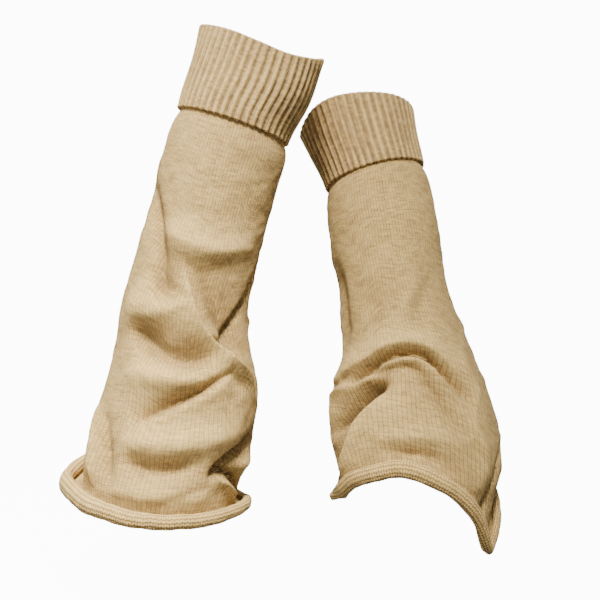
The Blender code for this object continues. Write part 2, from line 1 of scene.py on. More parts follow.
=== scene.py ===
import bpy
import numpy as np
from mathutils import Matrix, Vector


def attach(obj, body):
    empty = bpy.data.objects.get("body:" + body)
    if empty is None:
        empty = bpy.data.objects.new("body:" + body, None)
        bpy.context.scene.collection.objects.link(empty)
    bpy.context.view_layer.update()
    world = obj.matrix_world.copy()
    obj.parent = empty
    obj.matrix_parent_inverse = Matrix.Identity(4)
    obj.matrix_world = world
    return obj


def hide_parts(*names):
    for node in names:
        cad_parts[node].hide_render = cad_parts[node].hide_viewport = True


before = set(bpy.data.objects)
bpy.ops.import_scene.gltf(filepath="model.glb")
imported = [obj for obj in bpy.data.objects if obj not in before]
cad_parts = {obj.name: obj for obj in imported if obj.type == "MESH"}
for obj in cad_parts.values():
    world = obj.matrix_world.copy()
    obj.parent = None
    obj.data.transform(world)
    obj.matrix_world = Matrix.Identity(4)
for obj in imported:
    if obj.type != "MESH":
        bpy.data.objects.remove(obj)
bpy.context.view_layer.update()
mm = 0.001
random = np.random.default_rng(11)

# Sizes are in millimetres and degrees. An angle runs round a leg, 0 at its front and 90 at its right.
# A level runs down the leg, 0 at the cuff's lower edge, negative under the cuff.

knit = {
    "wall": 2.2,              # thickness of the plain cloth
    "walesRound": 115,        # columns of stitches round a leg, five for every two ribs
    "stitch": 2.8,            # width of a stitch at the top of the leg
    "coursePitch": 2.3,       # height of a row in the rib
    "ribs": 46,
    "walesInRib": 2,
}

# Rows of sections: level, x, y, z, half width, half depth, lean of the right side, drop of the front
# Rows of hem: angle, level of the roll's middle, flare out from the leg, half its depth, half its height
# Rows of brim: angle, how far the cuff's fold sinks, how far it stands out
# Rows of folds: path of (angle, level, strength), width to the path's left and to its right, how round
# its crest is, height, and how far the crest laps over to the right; a hollow has a height below 0
leftWarmer = {
    "name": "left",
    "sections": [
        (-82.0, 14.6, 0.0, 39.2, 54.2, 53.0, 15.0, 6.0),
        (-41.0, 0.7, 0.0, 0.0, 54.2, 53.0, 16.6, 3.0),
        (-8.0, -12.2, 0.0, -31.8, 51.2, 50.8, 18.2, 0.0),
        (0.0, -14.6, 0.0, -39.5, 50.8, 50.6, 18.4, 0.0),
        (9.0, -16.8, 0.0, -47.8, 53.8, 51.9, 18.0, 0.0),
        (43.0, -27.0, 0.0, -80.5, 55.4, 54.0, 16.0, 0.0),
        (87.0, -37.6, 0.0, -122.8, 55.0, 55.5, 14.5, 0.0),
        (132.0, -49.6, 0.0, -166.0, 56.2, 57.5, 8.0, 0.0),
        (179.0, -60.0, -1.0, -212.1, 58.6, 60.5, 4.5, 1.0),
        (218.0, -61.0, -2.0, -251.6, 64.2, 64.0, 0.5, 2.0),
        (252.0, -64.0, -3.0, -285.1, 72.0, 68.0, -2.0, 3.0),
        (284.0, -69.8, -4.0, -316.2, 75.0, 71.0, 0.0, 5.0),
        (313.0, -75.8, -5.0, -345.1, 74.9, 72.0, 1.5, 8.0),
        (338.0, -80.6, -6.0, -369.3, 70.8, 70.0, 4.0, 11.0),
        (356.0, -84.0, -6.0, -386.5, 70.0, 69.0, 5.4, 11.0),
    ],
    "hem": [
        (-90, 341, 15.5, 5.6, 8.6), (-65, 341, 11.5, 5.8, 8.4), (-35, 343, 8.8, 5.2, 7.2),
        (0, 345, 7.6, 4.6, 6.0), (30, 345, 7.6, 4.4, 5.6), (60, 345, 8.2, 4.3, 5.3),
        (90, 348, 10.5, 4.2, 5.0), (120, 354, 8.2, 4.4, 5.2), (150, 348, 7.6, 4.6, 5.6),
        (180, 341, 7.6, 4.8, 5.8), (210, 334, 9.0, 5.0, 6.2), (245, 331, 11.8, 5.6, 7.2),
    ],
    "brim": [
        (-90, 0.0, 4.5), (-60, 0.5, 1.5), (-30, 2.5, 0.0), (0, 6.5, -1.0), (30, 9.0, -1.0),
        (60, 5.5, 0.5), (90, 0.0, 1.5), (130, 1.0, 0.0), (180, 4.0, 0.0), (230, 1.0, 1.0),
    ],
    "folds": [
        # the lap across the front, the hollow behind it and the crease that comes down to meet it
        ([(-8, 128, 0), (-3, 142, .5), (4, 156, .9), (9, 167, 1), (15, 181, 1), (21, 192, 1),
          (29, 203, 1), (37, 213, 1), (53, 232, 1), (65, 248, .6), (78, 260, 0)], 4, 10, 1.2, 9.5, -3.0),
        ([(8, 138, 0), (22, 156, .8), (33, 175, 1), (44, 190, 1), (58, 205, .6),
          (74, 218, 0)], 14, 7, 3, -8.0, 0),
        ([(29, 203, 0), (37, 213, .8), (45, 223, 1), (53, 232, 1), (60, 241, 1), (66, 250, .8),
          (76, 263, 0)], 2.4, 5, 1, 4.5, -1.0),
        ([(30, 194, 0), (41, 207, 1), (50, 217, 1), (58, 227, 1), (64, 236, .8),
          (72, 246, 0)], 5, 2.4, 1, -11.0, 0),
        ([(86, 118, 0), (80, 137, .9), (73, 156, 1), (62, 174, 1), (52, 190, 1), (43, 203, .7),
          (37, 212, 0)], 6, 4.5, 1.2, -8.5, 0),
        ([(38, 228, 0), (48, 236, .9), (58, 244, 1), (68, 252, .7), (78, 258, 0)], 6, 8, 2, -6.0, 0),
        # the crease from the left side, the bulge beside it and the pocket under them
        ([(-88, 70, 0), (-67, 84, .7), (-45, 107, 1), (-29, 130, 1), (-24, 146, .9), (-14, 160, 1),
          (-4, 174, 0)], 10, 8, 3, -10.5, 0),
        ([(-60, 166, 0), (-46, 172, .7), (-33, 177, 1), (-20, 177, 1), (-9, 172, .8),
          (0, 162, 0)], 20, 16, 9, 9.0, 0),
        ([(-48, 190, 0), (-37, 196, .8), (-26, 202, 1), (-14, 209, 1), (-2, 214, 1), (12, 217, 1),
          (24, 214, .8), (36, 207, 0)], 22, 9, 3, -14.5, 0),
        # slack cloth on the front, from the top down
        ([(-42, 106, 0), (-22, 112, .8), (-4, 117, 1), (14, 118, 1), (32, 115, 1), (50, 109, .6),
          (66, 103, 0)], 15, 12, 7, 6.5, 0),
        ([(-22, 133, 0), (-6, 137, 1), (10, 140, 1), (26, 137, .7), (42, 130, 0)], 10, 16, 6, -4.0, 0),
        ([(-44, 222, 0), (-32, 227, .6), (-20, 230, .9), (-8, 232, 1), (6, 234, 1), (20, 235, 1),
          (33, 231, .8), (46, 222, 0)], 12, 15, 6, 10.0, 0),
        ([(-26, 272, 0), (-12, 262, .8), (3, 254, 1), (20, 245, 1), (32, 237, 1),
          (48, 227, 0)], 13, 4, 1.5, -11.0, 0),
        ([(-34, 283, 0), (-17, 286, .8), (2, 288, 1), (26, 286, 1), (46, 283, .7),
          (66, 279, 0)], 16, 12, 7, 9.5, 0),
        ([(-28, 302, 0), (-16, 304, .9), (-2, 307, 1), (14, 306, .9), (30, 299, 0)], 12, 7, 3, -8.0, 0),
        ([(-44, 322, 0), (-20, 325, .8), (8, 326, 1), (32, 326, .9), (48, 328, 0)], 11, 9, 5, 6.0, 0),
        # the pinch above the hem, the beak of cloth under it and the shaded fold beside it
        ([(96, 284, 0), (80, 290, .8), (66, 296, 1), (53, 301, 1), (43, 308, 1),
          (35, 317, 0)], 9, 5, 1.2, -13.0, 0),
        ([(38, 307, 0), (46, 312, 1), (56, 316, 1), (68, 322, .8), (78, 330, 0)], 4.5, 4, 1.2, -10.0, 0),
        ([(40, 312, 0), (48, 318, 1), (60, 326, 1), (72, 336, 1), (84, 345, 0)], 3, 3.5, 1.2, 5.5, 0),
        ([(56, 318, 0), (68, 324, 1), (80, 332, 1), (92, 342, 0)], 4, 4, 1.5, -7.0, 0),
        ([(62, 309, 0), (76, 312, 1), (100, 310, 0)], 7, 8, 3, 5.0, 0),
        ([(2, 330, 0), (20, 326, 1), (36, 324, 1), (56, 334, 0)], 7, 7, 3, -4.0, 0),
        # the left side above the hem
        ([(-72, 250, 0), (-64, 276, 1), (-55, 310, 1), (-48, 334, 0)], 8, 7, 4, 5.0, 0),
        ([(-56, 256, 0), (-47, 282, 1), (-37, 310, 1), (-30, 332, 0)], 9, 6, 2, -6.0, 0),
        # slack cloth on the sides and back
        ([(-150, 158, 0), (-130, 166, 1), (-114, 168, .6), (-102, 162, 0)], 11, 10, 5, 5.0, 0),
        ([(-165, 172, 0), (-140, 186, 1), (-120, 190, .8), (-102, 186, 0)], 10, 9, 3, -8.0, 0),
        ([(-168, 196, 0), (-138, 208, 1), (-118, 210, .8), (-102, 206, 0)], 11, 8, 3, 6.0, 1.5),
        ([(-155, 236, 0), (-132, 240, 1), (-114, 238, .8), (-100, 240, 0)], 10, 12, 4, -8.0, 0),
        ([(-175, 268, 0), (-148, 272, 1), (-120, 268, .9), (-102, 262, 0)], 12, 11, 5, 5.5, 0),
        ([(-162, 302, 0), (-136, 300, 1), (-112, 296, .8), (-98, 300, 0)], 10, 10, 4, -5.5, 0),
        ([(98, 110, 0), (125, 122, 1), (158, 126, 1), (188, 116, 0)], 12, 11, 7, 5.0, 0),
        ([(104, 146, 0), (130, 152, 1), (165, 158, 1), (200, 150, 0)], 12, 10, 4, -7.0, 0),
        ([(96, 190, 0), (116, 182, .9), (146, 188, 1), (180, 184, 1), (206, 176, 0)], 11, 8, 3, 7.0, 1.5),
        ([(98, 216, 0), (120, 212, 1), (150, 214, 1), (182, 208, 0)], 9, 11, 3, -9.0, 0),
        ([(106, 246, 0), (130, 240, 1), (160, 246, 1), (196, 240, 0)], 11, 10, 5, 6.0, 0),
        ([(98, 268, 0), (120, 274, 1), (152, 276, 1), (190, 266, 0)], 10, 10, 4, -7.0, 0),
        ([(96, 306, 0), (118, 304, 1), (148, 306, .9), (186, 300, 0)], 11, 10, 6, 4.5, 0),
    ],
    "lastLevel": 333.0,
    "courses": 166,
}

rightWarmer = {
    "name": "right",
    "sections": [
        (-72.5, 103.6, 92.0, -8.4, 53.2, 52.0, -4.5, -10.0),
        (-34.3, 113.3, 84.0, -46.2, 50.5, 50.5, -9.5, -10.0),
        (-7.0, 120.8, 77.6, -71.5, 47.8, 48.3, -12.8, -10.0),
        (0.0, 122.6, 76.0, -78.0, 47.2, 48.0, -13.0, -10.0),
        (9.0, 124.2, 74.1, -86.4, 50.4, 49.8, -12.0, -10.0),
        (30.0, 126.7, 69.5, -107.2, 52.8, 52.0, -9.5, -10.0),
        (70.0, 132.0, 60.5, -145.6, 54.0, 54.5, -7.0, -9.0),
        (115.0, 138.0, 50.0, -189.2, 53.0, 56.0, -4.0, -7.0),
        (150.0, 144.1, 42.0, -222.8, 57.2, 59.0, -2.0, -4.0),
        (182.0, 150.5, 34.5, -253.0, 63.8, 64.0, 0.0, -2.0),
        (214.0, 153.4, 26.6, -284.1, 71.6, 69.0, 0.0, 0.0),
        (240.0, 155.0, 20.0, -309.2, 77.4, 73.0, 0.0, 0.0),
        (266.0, 156.8, 13.8, -334.0, 79.0, 74.0, 0.0, 0.0),
        (290.0, 158.3, 7.6, -357.5, 76.3, 73.0, 0.0, 0.0),
        (310.0, 159.5, 4.0, -376.5, 69.0, 70.0, 0.0, 0.0),
        (330.0, 156.0, 0.0, -396.0, 67.5, 68.0, 0.0, 0.0),
        (373.0, 150.0, -7.0, -437.0, 66.0, 67.0, 0.0, 0.0),
    ],
    "hem": [
        (-97, 316, 9.0, 2.6, 3.3), (-90, 317, 12.0, 2.5, 3.2), (-82, 310, 9.5, 3.0, 4.8),
        (-60, 296, 5.4, 3.4, 6.4), (-35, 285, 5.2, 3.5, 6.6), (-12, 280, 5.2, 3.5, 6.6),
        (7, 291, 5.2, 3.5, 6.4), (28, 311, 5.2, 3.5, 6.0), (44, 331, 5.4, 3.3, 5.2),
        (57, 352, 5.6, 3.0, 4.2), (64, 358, 5.6, 2.5, 3.2), (72, 349, 6.0, 3.0, 4.2),
        (90, 331, 6.6, 3.6, 5.2), (120, 306, 7.2, 4.2, 5.6), (150, 291, 7.2, 4.4, 5.8),
        (180, 285, 7.2, 4.4, 5.8), (210, 289, 7.2, 4.4, 5.8), (245, 304, 6.6, 3.8, 5.4),
    ],
    "brim": [
        (-90, 14.0, 6.0), (-60, 5.0, 1.5), (-30, 0.5, 0.0), (0, 0.0, 0.0), (30, 0.5, 0.0), (60, 2.5, 0.5),
        (90, 7.0, 1.5), (130, 4.0, 0.0), (180, 1.0, 0.0), (230, 6.0, 2.0),
    ],
    "folds": [
        # the arch above the hem: a round roll of cloth, the crease under it and the thin ridge inside it
        ([(-98, 206, 0), (-78, 205, .7), (-60, 195, 1), (-40, 183, 1), (-22, 172, 1), (-4, 169, 1),
          (9, 172, 1), (21, 181, .9), (33, 198, .5), (44, 216, 0)], 16, 5, 6, 8.0, 1.5),
        ([(-66, 215, 0), (-52, 204, .7), (-38, 193, 1), (-22, 183, 1), (-6, 179, 1), (6, 181, 1),
          (16, 188, 1), (24, 198, .9), (34, 213, .5), (42, 230, 0)], 3, 5, 1.2, -9.0, 0),
        ([(-36, 194, 0), (-23, 188, .9), (-10, 184, 1), (1, 184, 1), (8, 188, 1), (14, 196, 1),
          (20, 206, .7), (28, 222, 0)], 4, 4.5, 1.5, 4.5, 0),
        ([(-38, 199, 0), (-26, 194, .8), (-10, 190, 1), (0, 192, 1), (5, 199, 1), (10, 209, 1),
          (16, 220, .9), (23, 237, .5), (30, 255, 0)], 4, 9, 1.5, -6.0, 0),
        # the bulge and hollow left of it, and the front flap that laps over the left side
        ([(-92, 224, 0), (-70, 215, 1), (-50, 207, 1), (-36, 201, .8), (-24, 199, 0)], 5, 7, 2, 6.5, 0),
        ([(-90, 262, 0), (-76, 250, .8), (-61, 237, 1), (-46, 224, 1), (-32, 211, .8),
          (-18, 199, 0)], 9, 9, 2, -12.0, 0),
        ([(-22, 202, 0), (-34, 213, .8), (-45, 226, 1), (-56, 242, 1), (-66, 262, 1), (-76, 282, .8),
          (-86, 302, 0)], 3.5, 13, 1.5, -15.0, 0),
        ([(-16, 207, 0), (-26, 218, .8), (-34, 228, 1), (-44, 243, 1), (-52, 261, 1), (-60, 278, 1),
          (-68, 292, .8), (-76, 306, 0)], 18, 3.5, 1.5, 6.5, 3.0),
        ([(-98, 208, 0), (-86, 224, 1), (-84, 248, 1), (-86, 272, 0)], 12, 10, 8, 4.0, 0),
        # slack cloth on the front
        ([(-78, 80, 0), (-74, 104, .8), (-72, 134, 1), (-72, 160, 1), (-76, 182, 0)], 11, 11, 8, -5.0, 0),
        ([(48, 104, 0), (34, 117, .8), (20, 134, 1), (8, 150, .8), (2, 166, 0)], 9, 8, 4, -3.0, 0),
        ([(18, 108, 0), (12, 124, .8), (1, 138, 1), (-6, 150, .8), (-12, 162, 0)], 7, 6, 3, 3.5, 0),
        ([(-36, 258, 0), (-18, 252, .9), (0, 252, 1), (16, 256, .8), (32, 266, 0)], 12, 8, 4, 4.0, 0),
        ([(-30, 266, 0), (-16, 266, .9), (-2, 267, 1), (10, 272, .9), (24, 288, 0)], 6, 7, 3, -4.0, 0),
        ([(40, 160, 0), (44, 190, .9), (48, 220, 1), (54, 250, 0)], 10, 9, 6, 4.0, 0),
        ([(60, 190, 0), (50, 212, .8), (39, 235, 1), (38, 250, 1), (43, 262, .6),
          (48, 276, 0)], 3, 4, 1.5, 1.8, 0),
        ([(76, 262, 0), (64, 284, 1), (56, 303, 1), (48, 326, 1), (44, 345, 0)], 5, 7, 2, -6.0, 0),
        ([(30, 226, 0), (40, 250, .8), (44, 272, 1), (40, 292, .8), (32, 306, 0)], 10, 10, 5, 4.0, 0),
        # slack cloth on the sides and back
        ([(-128, 170, 0), (-108, 180, 1), (-94, 187, .7), (-76, 184, 0)], 9, 8, 4, -5.0, 0),
        ([(-176, 200, 0), (-150, 196, 1), (-122, 204, 1), (-98, 212, 0)], 12, 8, 4, 6.5, 1.5),
        ([(-170, 222, 0), (-142, 220, 1), (-116, 228, 1), (-96, 240, 0)], 8, 11, 3, -8.0, 0),
        ([(-160, 256, 0), (-132, 250, 1), (-110, 260, .8), (-92, 272, 0)], 11, 10, 5, 5.0, 0),
        ([(78, 148, 0), (104, 156, 1), (136, 154, 1), (168, 162, 0)], 11, 9, 4, 5.5, 1.0),
        ([(84, 176, 0), (106, 180, 1), (134, 176, 1), (172, 184, 0)], 8, 10, 3, -8.0, 0),
        ([(84, 206, 0), (106, 206, 1), (130, 200, 1), (166, 208, 0)], 10, 9, 5, 6.0, 0),
        ([(84, 234, 0), (106, 230, 1), (128, 226, .9), (158, 234, 0)], 9, 10, 4, -6.5, 0),
        ([(80, 262, 0), (100, 260, 1), (122, 256, .9), (150, 262, 0)], 10, 10, 5, 4.5, 0),
    ],
    "lastLevel": 270.0,
    "courses": 146,
}


fullTurn = 2 * np.pi


def spline(at, places, values):
    # a smooth curve through a table's values
    places, values = np.asarray(places, float), np.asarray(values, float)
    slopes = np.gradient(values, places)
    row = np.clip(np.searchsorted(places, at) - 1, 0, len(places) - 2)
    span = places[row + 1] - places[row]
    t = np.clip((at - places[row]) / span, 0, 1)
    return (values[row] * (2 * t**3 - 3 * t**2 + 1) + slopes[row] * span * (t**3 - 2 * t**2 + t)
            + values[row + 1] * (3 * t**2 - 2 * t**3) + slopes[row + 1] * span * (t**3 - t**2))


def roundSpline(angle, table, i):
    # the same for a table that goes once round a leg from its left side
    table = np.array(table, float)
    places = np.concatenate([table[:, 0] - 360, table[:, 0], table[:, 0] + 360])
    return spline((np.asarray(angle, float) + 90) % 360 - 90, places, np.tile(table[:, i], 3))


def unit(v):
    return v / np.linalg.norm(v, axis=-1, keepdims=True)


def smooth(t):
    t = np.clip(t, 0, 1)
    return t * t * (3 - 2 * t)


def tubePoint(warmer, angle, level):
    # the smooth leg, before any fold
    table = np.array(warmer["sections"]).T
    x, y, z, halfWidth, halfDepth, lean, drop = (spline(level, table[0], column) for column in table[1:])
    turn, tilt = np.radians(angle), np.radians(lean)
    across, ahead = np.sin(turn) * halfWidth, np.cos(turn)
    return np.stack([x + across * np.cos(tilt), y - halfDepth * ahead,
                     z - across * np.sin(tilt) - drop * ahead], axis=-1)


def tubeFrame(warmer, angle, level):
    # a point of the smooth leg and the ways outward, to the right and down from it
    point = tubePoint(warmer, angle, level)
    right = unit(tubePoint(warmer, angle + 1, level) - tubePoint(warmer, angle - 1, level))
    down = unit(tubePoint(warmer, angle, level + 1) - tubePoint(warmer, angle, level - 1))
    return point, unit(np.cross(down, right)), right, down


foldLine = {"stepsPerRow": 6, "reach": 3.2}        # reach counts the fold's wider side


def foldShift(warmer, angle, level):
    # how far the folds move each point outward, round to the right, and down
    shift = np.zeros((3,) + angle.shape)
    table = np.array(warmer["sections"]).T
    for path, leftWidth, rightWidth, bend, height, lap in warmer["folds"]:
        path = np.array(path, float)
        middle = path[:, 0].mean()
        radius = spline(path[0, 1], table[0], table[4])
        roundWay = np.radians((angle - middle + 180) % 360 - 180 + middle) * radius
        at = np.linspace(0, len(path) - 1, (len(path) - 1) * foldLine["stepsPerRow"] + 1)
        line = np.stack([spline(at, np.arange(len(path)), path[:, i]) for i in range(3)], axis=-1)
        line[:, 0] = np.radians(line[:, 0]) * radius
        reach = foldLine["reach"] * max(leftWidth, rightWidth)
        near = ((roundWay > line[:, 0].min() - reach) & (roundWay < line[:, 0].max() + reach)
                & (level > line[:, 1].min() - reach) & (level < line[:, 1].max() + reach))
        px, py = roundWay[near], level[near]
        best = np.full((5, px.size), np.inf)        # distance, side, strength and the way it leans
        for a, b in zip(line[:-1], line[1:]):
            run = b[:2] - a[:2]
            length = np.hypot(*run)
            t = np.clip(((px - a[0]) * run[0] + (py - a[1]) * run[1]) / length**2, 0, 1)
            gx, gy = px - a[0] - t * run[0], py - a[1] - t * run[1]
            found = np.array([np.hypot(gx, gy), run[0] * gy - run[1] * gx, a[2] + t * (b[2] - a[2]),
                              np.full(t.shape, -run[1] / length), np.full(t.shape, run[0] / length)])
            best = np.where(found[0] < best[0], found, best)
        width = np.where(best[1] > 0, rightWidth, leftWidth)
        swell = best[2] * np.exp(-(np.hypot(best[0], bend) - bend) / width - 0.5 * (best[0] / width) ** 2)
        shift[:, near] += np.array([height * swell, lap * swell * best[3], lap * swell * best[4]])
    return shift


def ripple(angle, level, amounts):
    # a gentle unevenness that joins up round the leg: rows of height, times round, wavelength down, phase
    total = np.zeros(np.broadcast(angle, level).shape)
    for height, times, wavelength, phase in amounts:
        total = total + height * np.sin(np.radians(angle) * times + fullTurn * level / wavelength + phase)
    return total


def randomRipples(height, fewest, most, shortest, longest, count):
    return [(height, int(random.integers(fewest, most)), random.uniform(shortest, longest),
             random.uniform(0, fullTurn)) for _ in range(count)]


# Rows of sizes: height, most times round, shortest and longest wave down, how many
legRipple = {"sizes": [(0.16, 4, 60, 140, 6), (0.09, 12, 24, 60, 10), (0.05, 26, 10, 24, 12)],
             "from": 2, "over": 25}


def legRipples():
    rows = []
    for height, most, shortest, longest, count in legRipple["sizes"]:
        for _ in range(count):
            rows.append((height, int(random.integers(1, most)) * (1 if random.random() < 0.5 else -1),
                         random.uniform(shortest, longest), random.uniform(0, fullTurn)))
    return rows


def legPoint(warmer, angle, level, depth):
    point, outward, right, down = tubeFrame(warmer, angle, level)
    shift = foldShift(warmer, angle, level)
    uneven = ripple(angle, level, warmer["ripples"]) * smooth((level - legRipple["from"]) / legRipple["over"])
    return (point + outward * (shift[0] + uneven - depth)[..., None] + right * shift[1][..., None]
            + down * shift[2][..., None])


# The roll wanders a little round the leg: how far down, out and in height for each millimetre of wobble
hemWobble = {"size": 0.8, "times": (3, 5, 7, 9, 12, 15, 19), "down": 0.6, "out": 0.25, "height": 0.035}


def hemFrame(warmer, angle):
    # the middle of the roll at each angle, with the ways outward and up across it, and its half sizes
    level, flare, halfOut, halfUp = (roundSpline(angle, warmer["hem"], i) for i in (1, 2, 3, 4))
    wobble = ripple(angle, np.zeros(angle.shape), warmer["wobbles"])
    level, flare = level + hemWobble["down"] * wobble, flare + hemWobble["out"] * wobble
    halfUp = halfUp * (1 + hemWobble["height"] * wobble)
    point, outward, _, _ = tubeFrame(warmer, angle, level)
    point = point + outward * flare[:, None]
    onward = np.roll(point, -1, axis=0) - np.roll(point, 1, axis=0)
    up = unit(np.cross(outward, onward))
    return point, unit(np.cross(onward, up)), up, flare, halfOut, halfUp


# The curl's turn in degrees, 0 on its outer side and 90 at its top; its inner end winds tighter
curl = {"start": -130.0, "tightFrom": 80.0, "end": 215.0, "tightens": 0.45}


def curlPlace(halfOut, halfUp, turn, step):
    # a point of the flattened curl, and the way along it
    way = np.radians(turn)
    wound = np.clip((turn - curl["tightFrom"]) / (curl["end"] - curl["tightFrom"]), 0, 1)
    tight = 1 - curl["tightens"] * wound
    runOut, runUp = -halfOut * np.sin(way), halfUp * np.cos(way)
    length = np.hypot(runOut, runUp)
    runOut, runUp = runOut / length, runUp / length
    return (halfOut * tight * np.cos(way) + runUp * step, halfUp * tight * np.sin(way) - runOut * step,
            runOut, runUp)


turnOut = {"pull": 0.5, "from": 0.8, "bend": -0.4}        # from and bend count the roll's half height


def turnOutRows(warmer, angle, depth, count):
    # the leg's last rows, which turn outward under the roll
    middle, outward, up, flare, halfOut, halfUp = hemFrame(warmer, angle)
    endOut, endUp, runOut, runUp = curlPlace(halfOut, halfUp, curl["start"], -knit["wall"] / 2)
    pull = turnOut["pull"] * (flare + endOut)
    outs = np.stack([-flare, -flare, endOut - pull * runOut, endOut])
    ups = np.stack([turnOut["from"] * halfUp, turnOut["bend"] * halfUp, endUp - pull * runUp, endUp])
    rows = []
    for t in np.linspace(0, 1, count):
        k = 1 - t
        weights = np.array([k**3, 3 * k**2 * t, 3 * k * t**2, t**3])
        slopes = np.array([-k * k, k * k - 2 * k * t, 2 * k * t - t * t, t * t])
        out, high, slopeOut, slopeUp = weights @ outs, weights @ ups, slopes @ outs, slopes @ ups
        scale = depth / np.hypot(slopeOut, slopeUp)
        out, high = out + slopeUp * scale, high - slopeOut * scale
        rows.append(middle + outward * out[:, None] + up * high[:, None])
    return rows


def addCloth(name, points, stitches, banks, materials, crest):
    # a wall of cloth from a grid of points that closes on itself round the leg and from its last row to its
    # first; stitches holds wale and course numbers, with one more column than the grid
    rows, columns = points.shape[:2]
    r, c = np.arange(rows)[:, None], np.arange(columns)[None, :]
    below, beside = (r + 1) % rows, (c + 1) % columns
    corners = [(r, c), (below, c), (below, beside), (r, beside)]
    faces = np.stack([i * columns + j for i, j in corners], axis=-1).reshape(-1, 4)
    mesh = bpy.data.meshes.new(name)
    mesh.from_pydata((points.reshape(-1, 3) * mm).tolist(), [], faces.tolist())
    here, low, column, after = np.broadcast_arrays(r, below, c, c + 1)
    uv = [stitches[here, column], stitches[low, column], stitches[low, after], stitches[here, after]]
    uv = np.stack(uv, axis=2).astype(np.float32)
    mesh.uv_layers.new(name="stitches").uv.foreach_set("vector", uv.ravel())
    # painted shade and light for each point, which the knit materials turn into darker or paler colour
    paintedShadeLayer = mesh.attributes.new("crest", "FLOAT", "POINT")
    paintedShadeLayer.data.foreach_set("value", crest.astype(np.float32).ravel())
    for material in materials:
        mesh.materials.append(material)
    mesh.polygons.foreach_set("material_index", np.repeat(np.asarray(banks, np.int32), columns))
    mesh.shade_smooth()
    piece = bpy.data.objects.new(name, mesh)
    bpy.context.scene.collection.objects.link(piece)
    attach(piece, "root")
    print(f"{name}: {2 * rows * columns} triangles")
    return piece


def waleNumbers(columns, count):
    return np.linspace(0, count, columns + 1)


# The last two limit, in millimetres of fold, the painted shade in hollows and the painted light on crests
legMesh = {"columns": 270, "rows": 286, "turnOutRows": 14, "innerRows": 62, "innerTurnOutRows": 6,
           "top": -6.0, "aboveRoll": 12.0, "deepestPaintedShade": -14.0, "brightestPaintedLight": 6.0}


def buildLeg(warmer, materials):
    size = legMesh
    angle = np.arange(size["columns"]) * 360 / size["columns"]
    hemLevel = roundSpline(angle, warmer["hem"], 1) - size["aboveRoll"]
    last = warmer["lastLevel"]

    def face(rows, lastRows, depth):
        # one side of the cloth, and how far its folds stand out
        level = np.linspace(size["top"], last, rows)[:, None]
        level = level + np.clip(level / last, 0, 1) ** 2 * (hemLevel - last)[None, :]
        angles = np.broadcast_to(angle, level.shape)
        body = legPoint(warmer, angles, level, depth)
        ending = np.stack(turnOutRows(warmer, angle, depth, lastRows))
        return np.concatenate([body, ending]), foldShift(warmer, angles, level)[0]

    outer, height = face(size["rows"], size["turnOutRows"], 0.0)
    inner, _ = face(size["innerRows"], size["innerTurnOutRows"], knit["wall"])

    def courseNumbers(grid):
        steps = np.linalg.norm(np.diff(grid, axis=0), axis=-1)
        run = np.concatenate([np.zeros((1, grid.shape[1])), np.cumsum(steps, axis=0)])
        share = run / run[-1]
        return np.concatenate([share, share[:, :1]], axis=1) * warmer["courses"]

    down = np.concatenate([courseNumbers(outer), courseNumbers(inner)[::-1]])
    across = np.broadcast_to(waleNumbers(size["columns"], knit["walesRound"]), down.shape)
    # painted shade in the folds' hollows and painted light on their crests, from how far each point stands in
    # or out
    crest = np.zeros((len(outer) + len(inner), size["columns"]))
    crest[: len(height)] = height.clip(size["deepestPaintedShade"], size["brightestPaintedLight"])
    banks = [0] * len(outer) + [1] * len(inner)
    piece = addCloth(f"{warmer['name']}LegKnit", np.concatenate([outer, inner[::-1]]),
                     np.stack([across, down], axis=-1), banks, materials, crest)
    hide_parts(f"{warmer['name']}_leg")
    return piece


# The seam is the gap between the roll's first row and the leg's last one; the last three sizes set the
# painted shade on the roll's underside and a little painted light on its top
rollMesh = {"columns": 240, "turns": 60, "innerTurns": 36, "seam": 0.15, "courses": 11.0,
            "dent": 0.07, "dents": 8, "dentOver": 60.0, "turnPitch": 0.1,
            "paintedRollShade": 14.0, "shadeTilt": 15.0, "shadeTop": 0.3}


def buildHem(warmer, materials):
    size = rollMesh
    angle = np.arange(size["columns"]) * 360 / size["columns"]
    middle, outward, up, _, halfOut, halfUp = hemFrame(warmer, angle)
    wall = knit["wall"]
    dents = randomRipples(size["dent"], 9, 40, 8, 20, size["dents"])
    start = curl["start"] + np.degrees(size["seam"] / (halfUp.min() - wall / 2))

    def turned(count, step):
        rows = []
        for turn in np.linspace(start, curl["end"], count):
            along = np.full(angle.shape, turn * size["turnPitch"])
            dent = ripple(angle, along, dents) * smooth((turn - start) / size["dentOver"])
            out, high, _, _ = curlPlace(halfOut, halfUp, turn, step + dent)
            rows.append(middle + outward * out[:, None] + up * high[:, None])
        return np.stack(rows)

    inside, outside = turned(size["innerTurns"], -wall / 2), turned(size["turns"], wall / 2)
    down = np.concatenate([np.linspace(0, 1, len(inside)), np.linspace(1, 0, len(outside))]) * size["courses"]
    down = np.broadcast_to(down[:, None], (len(down), size["columns"] + 1)) + warmer["courses"]
    across = np.broadcast_to(waleNumbers(size["columns"], knit["walesRound"]), down.shape)
    # painted shade, darker on the roll's underside, and a little painted light on its top
    turn = np.concatenate([np.linspace(curl["start"], curl["end"], len(inside)),
                           np.linspace(curl["end"], curl["start"], len(outside))])
    paintedRollShade = size["paintedRollShade"] * np.sin(np.radians(turn + size["shadeTilt"])).clip(-1, size["shadeTop"])
    crest = np.broadcast_to(paintedRollShade[:, None], (len(turn), size["columns"]))
    banks = [0] * len(inside) + [1] * len(outside)
    piece = addCloth(f"{warmer['name']}RolledHem", np.concatenate([inside, outside[::-1]]),
                     np.stack([across, down], axis=-1), banks, materials, crest)
    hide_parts(f"{warmer['name']}_hem")
    return piece


